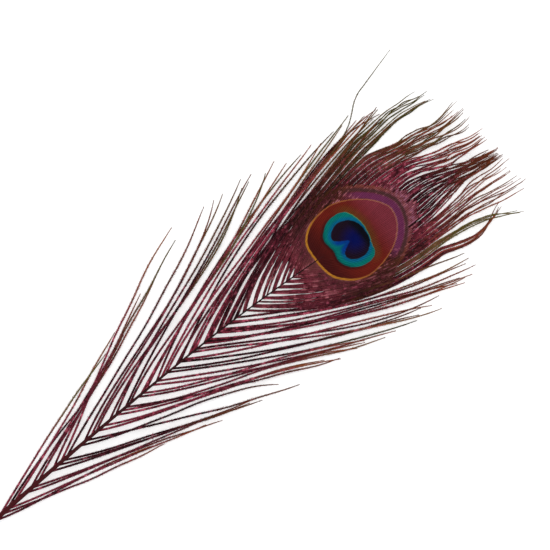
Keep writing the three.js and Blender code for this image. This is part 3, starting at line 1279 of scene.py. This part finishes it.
@dataclass
class EyeVane:
    """The close-set barbs of the eye, and the tufted fan that they run on into.

    Most ranges run from where a thing is 0 to where it is 1, in millimetres.
    """

    shaft: Shaft
    pattern: EyePattern = EyePattern()
    tufts: tuple[Tuft, ...] = TUFTS
    barbules: Barbules = Barbules(reach=1.15, pitch=0.19)
    waist_middle: float = 1.1
    waist_offsets: Floats = (0, 8.7, 17.4, 24.0, 33.2)
    waist_roots: Floats = (17.4, 6.0, -10.0, -25.0, -41.5)
    waist_ease: float = 7
    # The curve of a barb from the shaft to the waist, and of the outermost ones.
    opening: float = 2.2
    outermost: Span = (-18, -30)
    outer_opening: float = 6
    outer_straight: float = 0.72
    root_sink: float = 0.7
    # How the barbs of a tuft crowd: by chance, and in bands at the waist and at the shaft.
    parting: float = 0.5
    scatter: float = 0.5
    waist_pull: float = 0.16
    root_pull: float = 0.5
    banded_below: Span = (-4, -14)
    release: float = 0.7
    # How far the tips fall short of the tuft's, on average, by chance and at the limits.
    tip_scatter: Span = (-2.0, 2.0)
    tip_limits: Span = (-9, 0.6)
    # The shape, the scale and the limit of the barbs' own rise, and of their tips' height.
    rise: Triple = (2.0, 0.9, 4.2)
    tip_height: Triple = (1.4, 0.8, 3.2)
    eye_steps: int = 110
    fan_steps: int = 56
    seed: int = 11
    wander: float = 0.7
    # Along the feather: the far half of the eye, the vane's foot, and where the fan comes loose.
    far_half: Span = (14, 34)
    foot: Span = (8, -4)
    fan_starts: float = 44
    # The slits that part the vane: how closed it is there, and their paces and depths.
    slit_closed: float = 0.88
    slit_paces: Span = (0.25, 0.6)
    slit_depths: Span = (0.08, 0.09)
    # How far the near and the far edge of the vane stray, by chance.
    raggedness: Span = (1.6, 0.8)
    # From the gold line, below 0 outside it.
    solid: Span = (-3.2, -1.2)
    far_edge: Span = (-9.6, -5.0)
    near_edge: Span = (-17, -8)
    # A ribbon's share of the room to its neighbours, and how far it reaches at most.
    ribbon_share: float = 0.58
    least_ribbon: float = 0.05
    near_reach: float = 0.35
    outer_reach: float = 0.33
    solid_reach: float = 1.1
    ribbon_across: Floats = (-1.0, -0.45, 0.0, 0.45, 1.0, 0.0)
    ribbon_rise: Floats = (-0.10, 0.03, 0.12, 0.03, -0.10, -0.22)
    ring_jitter: float = 0.07
    fan_half_widths: Span = (0.37, 0.23)
    # Where barbules start, from the gold line: beside the eye, past its crown and below it.
    side_fringe: Span = (-5.4, -7.0)
    crown_fringe: Span = (-7.5, -12)
    near_fringe: Span = (-0.7, -2.0)
    crown_middle: float = 6.0
    crown_half: Span = (14, 8)
    fullness: Span = (0.72, 1.0)
    # The gaps that part the barbules: their paces along a barb, and how deep they are.
    gap_paces: Span = (0.9, 1.7)
    gap_depth: float = 0.85

    def _tuft(self, tuft: Tuft, rng: Rng) -> Array:
        """The plan of one tuft's barbs, from their roots to their tips.

        Args:
            tuft: The tuft.
            rng: Where its unevenness comes from.

        Returns:
            Places on the plan, by barb and step.
        """
        waist = FAN_STATIONS[0]
        part = (np.arange(tuft.barbs) + 0.5) / tuft.barbs
        loose = part + rng.normal(0, self.scatter / tuft.barbs, tuft.barbs)
        for own in clumps(tuft.barbs, self.parting, rng):
            loose[own] += (loose[own].mean() - loose[own]) * tuft.cling
        left, right = np.array(tuft.left), np.array(tuft.right)
        release = np.linspace(0, 1, len(left)) ** self.release
        crowded = banded(part, self.waist_pull, rng)
        placed = crowded[:, None] + (loose - part)[:, None] * release
        stations = left + (right - left) * placed
        offset = np.abs(stations[:, 0] - self.waist_middle)
        even = np.interp(offset, self.waist_offsets, self.waist_roots)
        crowding = banded(even, self.root_pull, rng) - even
        root_y = even + crowding * smooth(*self.banded_below, even)
        root = self.shaft.centre(root_y)[:, :1]
        tip_y = tuft.tip_y + rng.normal(*self.tip_scatter, tuft.barbs).clip(*self.tip_limits)
        rise = np.linspace(0, 1, self.eye_steps, endpoint=False)
        low_y = root_y[:, None] + (waist - root_y[:, None]) * rise
        low_x = root + (stations[:, :1] - root) * self._opened(low_y, root_y, stations[:, 0])
        high_y = waist + (tip_y[:, None] - waist) * np.linspace(0, 1, self.fan_steps)
        share = (high_y - waist) / (FAN_STATIONS[-1] - waist)
        high_x = np.stack([spline(s, h) for s, h in zip(stations, share)])
        x, y = np.concatenate([low_x, high_x], 1), np.concatenate([low_y, high_y], 1)
        x = eased(x, np.exp(-(((y - waist) / self.waist_ease) ** 2)))
        back = self.root_sink * smooth(-9, -3, root_y)
        lean = np.arctan2(x[:, 1] - x[:, 0], y[:, 1] - y[:, 0])
        x[:, 0] -= back * np.sin(lean)
        y[:, 0] -= back * np.cos(lean)
        return np.stack([x, y], -1)

    def _opened(self, y: Array, root_y: Array, waist_x: Array) -> Array:
        """How much of the way out from the shaft to the waist the barbs have gone.

        Args:
            y: Distances along the feather, by barb and step.
            root_y: Where each barb leaves the shaft.
            waist_x: Where it passes the waist.

        Returns:
            Shares from 0 to 1, by barb and step.
        """
        share = ((y - root_y[:, None]) / (FAN_STATIONS[0] - root_y[:, None])).clip(0, 1)
        even = 1 - (1 - share) ** self.opening
        steep = 1 - (1 - share) ** self.outer_opening
        steep += (share - steep) * self.outer_straight
        return even + (steep - even) * smooth(*self.outermost, waist_x)[:, None]

    def paths(self, rng: Rng) -> Array:
        """Each barb's path, from its root through the eye to its tip in a tuft.

        Args:
            rng: Where the unevenness comes from.

        Returns:
            The paths, from the left of the fan to the right.
        """
        line = np.concatenate([self._tuft(tuft, rng) for tuft in self.tufts])
        count = len(line)
        past = smooth(FAN_STATIONS[0] - 6, FAN_STATIONS[-1], line[..., 1])
        turns = (0.9 * 2 * math.pi, 1.8 * 2 * math.pi)
        swing = waves(past, turns, 2.7, (1, 0.3), rng)
        line[..., 0] += swing * past * self.wander * rng.uniform(0.4, 1.6, (count, 1))
        dome = vane_height(line[..., 0], line[..., 1])
        lift = self.shaft.centre(line[:, 0, 1])[:, 2:] - dome[:, :1]
        dome += lift.clip(0) * smooth(20, 0, line[..., 1] - line[:, :1, 1])
        y = line[..., 1] - self.fan_starts
        past = (y / y[:, -1:]).clip(0, 1)
        rise = rng.gamma(*self.rise[:2], (count, 1)).clip(0, self.rise[2])
        tip = rng.gamma(*self.tip_height[:2], (count, 1)).clip(0, self.tip_height[2])
        z = dome + rise * 4 * past * (1 - past) * past + (tip - 0.1) * past**2
        return np.concatenate([line, z[..., None]], -1)

    def build(self, face: Material, under: Material, barbs: Material) -> None:
        """Makes the eye's vane, and the left, the middle and the right of the fan.

        Args:
            face: The material of the eye's face.
            under: The material of its underside.
            barbs: The material of the fan.
        """
        rng = np.random.default_rng(self.seed)
        paths = self.paths(rng)
        count = len(paths)
        x, y = paths[..., 0], paths[..., 1]
        gold = self.pattern.gold.distance(paths[..., :2].reshape(-1, 2)).reshape(x.shape)
        distal = smooth(*self.far_half, y)
        slits = self.slit_closed + waves(y, self.slit_paces, 2.9, self.slit_depths, rng)
        beside_shaft = smooth(12, 7, np.abs(x)) * smooth(-12, -5, y)
        tight = np.maximum(smooth(*self.solid, gold), beside_shaft)
        slits += (1 - slits) * tight
        ragged = gold + rng.normal(0, self.raggedness[0], (count, 1)) * (1 - distal)
        crown = smooth(16, 8, np.abs(x - 3)) * (1.0 + 2.0 * smooth(-5.5, -9, gold))
        faded = gold + rng.normal(0, self.raggedness[1], (count, 1)) + crown
        closed = smooth(*self.far_edge, faded) * distal
        below = np.maximum(smooth(*self.near_edge, ragged), smooth(*self.foot, y))
        closed += slits * below * (1 - distal)
        out = np.abs(x - x[:, :1]) + rng.normal(0, 0.5, (count, 1))
        reach = self.near_reach + self.outer_reach * smooth(0, 9, out) * smooth(-34, -12, y)
        solid = np.maximum(tight, distal * smooth(-10, -7, gold))
        reach += (self.solid_reach - reach) * solid
        sizes = [tuft.barbs for tuft in self.tufts]
        olive, tone = np.repeat([(t.olive, t.tone) for t in self.tufts], sizes, axis=0).T
        olive = (olive + rng.normal(0, 0.16, count)).clip(0, 1)
        tone = (tone + rng.normal(0, 0.22, count)).clip(0, 1)
        strands = Strands(paths, tone, olive)
        self._vane(strands, closed, reach, face, under)
        starts = np.cumsum([0, *sizes])
        for name, (first, last) in FAN_PIECES.items():
            own = slice(starts[first], starts[last])
            part = Strands(paths[own], tone[own], olive[own])
            full = np.repeat([t.fullness for t in self.tufts], sizes)[own, None]
            self._fan(name, part, closed[own], gold[own], full, barbs, rng)

    def _vane(
        self,
        strands: Strands,
        closed: Array,
        reach: Array,
        face: Material,
        under: Material,
    ) -> None:
        """Makes the closed part: a ribbon to each barb, as wide as its room, with a ridge.

        Args:
            strands: The barbs.
            closed: From 1 where a barb's ribbon meets its neighbours' to 0 where it ends.
            reach: The most that a ribbon reaches to one side, in millimetres.
            face: The material of the face.
            under: The material of the underside.
        """
        apart = np.diff(strands.paths, axis=0)
        apart -= (apart * strands.ahead[1:]).sum(-1, keepdims=True) * strands.ahead[1:]
        gap = np.linalg.norm(apart, axis=-1)
        sides = np.stack([np.concatenate([gap[:1], gap]), np.concatenate([gap, gap[-1:]])])
        widths = np.minimum(sides.clip(0.25, 1.9) * self.ribbon_share, reach) * closed
        widths = (widths + self.least_ribbon)[..., None]
        last = int(np.nonzero((closed > 0.02).any(0))[0][-1]) + 2
        part = Strands(strands.paths[:, :last], strands.tone, strands.olive)
        across = np.array(self.ribbon_across)
        width = np.where(across < 0, widths[0][:, :last], widths[1][:, :last])
        squeeze = (0.35 + 0.65 * closed[:, :last])[..., None]
        places, index, walls = part.tubes(width * across, squeeze * self.ribbon_rise)
        walls = np.roll(walls[..., ::-1], 1, axis=-1)
        flat, shape = places[:, :2], index.shape
        jitter = np.random.default_rng(self.seed).normal(0, self.ring_jitter, (shape[0], 1, 1))
        numbers = {
            name: (line.distance(flat).reshape(shape) + jitter).ravel()
            for name, line in vars(self.pattern).items()
        }
        run = part.along * part.length[:, None]
        tone, ridge = part.tone[:, None, None], 1 - np.abs(across)
        for name, held in (("tone", tone), ("run", run[..., None]), ("ridge", ridge)):
            numbers[name] = np.broadcast_to(held, shape).ravel()
        low, high = flat.min(0), flat.max(0)
        spot = (flat - low) / (high - low) * (0.49, 0.99) + 0.005
        ends = np.concatenate([index[:, 0, ::-1], index[:, -1]])
        blocks = (
            Block(places, walls[:, :, :4].reshape(-1, 4), numbers, spot),
            Block(places, walls[:, :, 4:].reshape(-1, 4), numbers, spot + (0.5, 0), finish=1),
            Block(places, ends, numbers, spot),
        )
        made = StrandMesh("eye_vane", blocks).object(face, under)
        merge_doubles(made)
        dress(made)

    def _fan(
        self,
        name: str,
        part: Strands,
        closed: Array,
        gold: Array,
        full: Array,
        finish: Material,
        rng: Rng,
    ) -> None:
        """Makes one part of the fan: bare barbs out of the eye, then barbules to the tips.

        Args:
            name: Which part this is.
            part: Its barbs.
            closed: How closed the vane is along each barb.
            gold: How far each point lies inside the gold line.
            full: How full each barb is.
            finish: The material.
            rng: Where its unevenness comes from.
        """
        share, y, count = part.along, part.paths[..., 1], len(part.paths)
        root_half, tip_half = self.fan_half_widths
        thick = root_half + (tip_half - root_half) * smooth(self.fan_starts, 92, y)
        thick = thick * (1 - 0.9 * smooth(0.55, 1.0, closed))
        off = np.abs(part.paths[:, self.eye_steps, 0] - self.crown_middle)[:, None]
        crown, distal = smooth(*self.crown_half, off), smooth(18, 32, y)
        starts = smooth(*self.side_fringe, gold)
        starts += (smooth(*self.crown_fringe, gold) - starts) * crown
        starts = starts * distal + smooth(*self.near_fringe, gold) * (1 - distal)
        full = full * rng.uniform(*self.fullness, (count, 1))
        full = 1 - (1 - full) * smooth(46, 64, y)
        reach = self.barbules.reach * starts * full * (1 - 0.62 * smooth(0.8, 1.0, share))
        reach = reach * (0.55 + 0.45 * smooth(0.0, 0.1, share))
        phase = rng.uniform(0, 2 * math.pi, (2, count, 1))
        parted = sum(np.sin(y * pace + start) for pace, start in zip(self.gap_paces, phase))
        gaping = smooth(0.1, 1.1, parted) * smooth(-6, -9, gold) * distal
        reach = reach * (1 - self.gap_depth * gaping * (1 - 0.6 * smooth(60, 74, y)))
        rods = part.rods(thick * full * tapered(share))
        blocks = rods, part.fringe(self.barbules, reach, rng)
        dress(StrandMesh(f"{name}_fan", blocks).object(finish))


def merge_doubles(piece: Object) -> None:
    """Joins the blocks of a mesh where they share places.

    Args:
        piece: The piece whose mesh it is.
    """
    bpy.ops.object.select_all(action="DESELECT")
    piece.select_set(True)
    bpy.context.view_layer.objects.active = piece
    bpy.ops.object.mode_set(mode="EDIT")
    bpy.ops.mesh.select_all(action="SELECT")
    bpy.ops.mesh.remove_doubles(threshold=1e-7)
    bpy.ops.mesh.normals_make_consistent(inside=False)
    bpy.ops.object.mode_set(mode="OBJECT")


# ----- The studio -----


@dataclass
class Studio:
    """A pale floor, soft light from above and a camera that looks straight down, in metres."""

    floor_half: float = 3.0
    floor_gap: float = 0.0002
    floor_grey: float = 0.7
    floor_glow: float = 0.5
    lamp_place: Triple = (-0.5, 0.5, 1.7)
    lamp_size: float = 1.6
    lamp_watts: float = 9
    room_light: float = 0.78
    lens: float = 100.0
    sensor: float = 36.0
    frame_width: float = 0.23925
    aim_from_eye: Span = (-0.006326, -0.017748)
    roll_deg: float = 51.54

    def floor(self) -> None:
        """Lays the floor that the feather rests on."""
        bpy.ops.object.select_all(action="DESELECT")
        place = (0, 0, -self.floor_gap)
        bpy.ops.mesh.primitive_plane_add(size=2 * self.floor_half, location=place)
        made = bpy.context.object
        made.name = "floor"
        finish = Nodes("pale_floor").finish(
            Base_Color=(*[self.floor_grey] * 3, 1),
            Roughness=0.9,
            Emission_Color=(1, 1, 1, 1),
            Emission_Strength=self.floor_glow,
        )
        made.data.materials.append(finish)

    def lights(self) -> None:
        """Hangs one wide soft light over the feather in an evenly lit room."""
        data = bpy.data.lights.new("softbox", "AREA")
        data.shape, data.size, data.energy = "DISK", self.lamp_size, self.lamp_watts
        lamp = bpy.data.objects.new("softbox", data)
        lamp.location = self.lamp_place
        lamp.rotation_euler = (-Vector(self.lamp_place)).to_track_quat("-Z", "Y").to_euler()
        bpy.context.scene.collection.objects.link(lamp)
        world = bpy.data.worlds.new("room")
        world.use_nodes = True
        back = world.node_tree.nodes["Background"]
        back.inputs["Color"].default_value = (1, 1, 1, 1)
        back.inputs["Strength"].default_value = self.room_light
        bpy.context.scene.world = world
        bpy.context.scene.view_settings.view_transform = "Standard"

    def camera(self) -> None:
        """Sets the camera over the eye, turned so that the feather lies aslant."""
        data = bpy.data.cameras.new("camera")
        data.lens, data.sensor_width, data.clip_start = self.lens, self.sensor, 0.01
        made = bpy.data.objects.new("camera", data)
        x, y = (foot + off for foot, off in zip(EYE_FOOT, self.aim_from_eye))
        made.location = (x, y, self.frame_width * self.lens / self.sensor + 0.001)
        made.rotation_euler = (0, 0, math.radians(self.roll_deg))
        bpy.context.scene.collection.objects.link(made)
        bpy.context.scene.camera = made


def main() -> None:
    """Builds the feather's pieces and the studio."""
    logging.basicConfig(level=logging.INFO, format="%(message)s")
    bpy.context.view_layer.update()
    studio = Studio()
    studio.camera()
    shaft = Shaft()
    shaft.build()
    barbs = BarbFinish().material()
    LooseBarbs(LEFT_PLAN, shaft, seed=3).build(barbs)
    LooseBarbs(RIGHT_PLAN, shaft, seed=5).build(barbs)
    EyeVane(shaft).build(EyeFinish().material(), UnderFinish().material(), barbs)
    studio.floor()
    studio.lights()


if __name__ == "__main__":
    main()
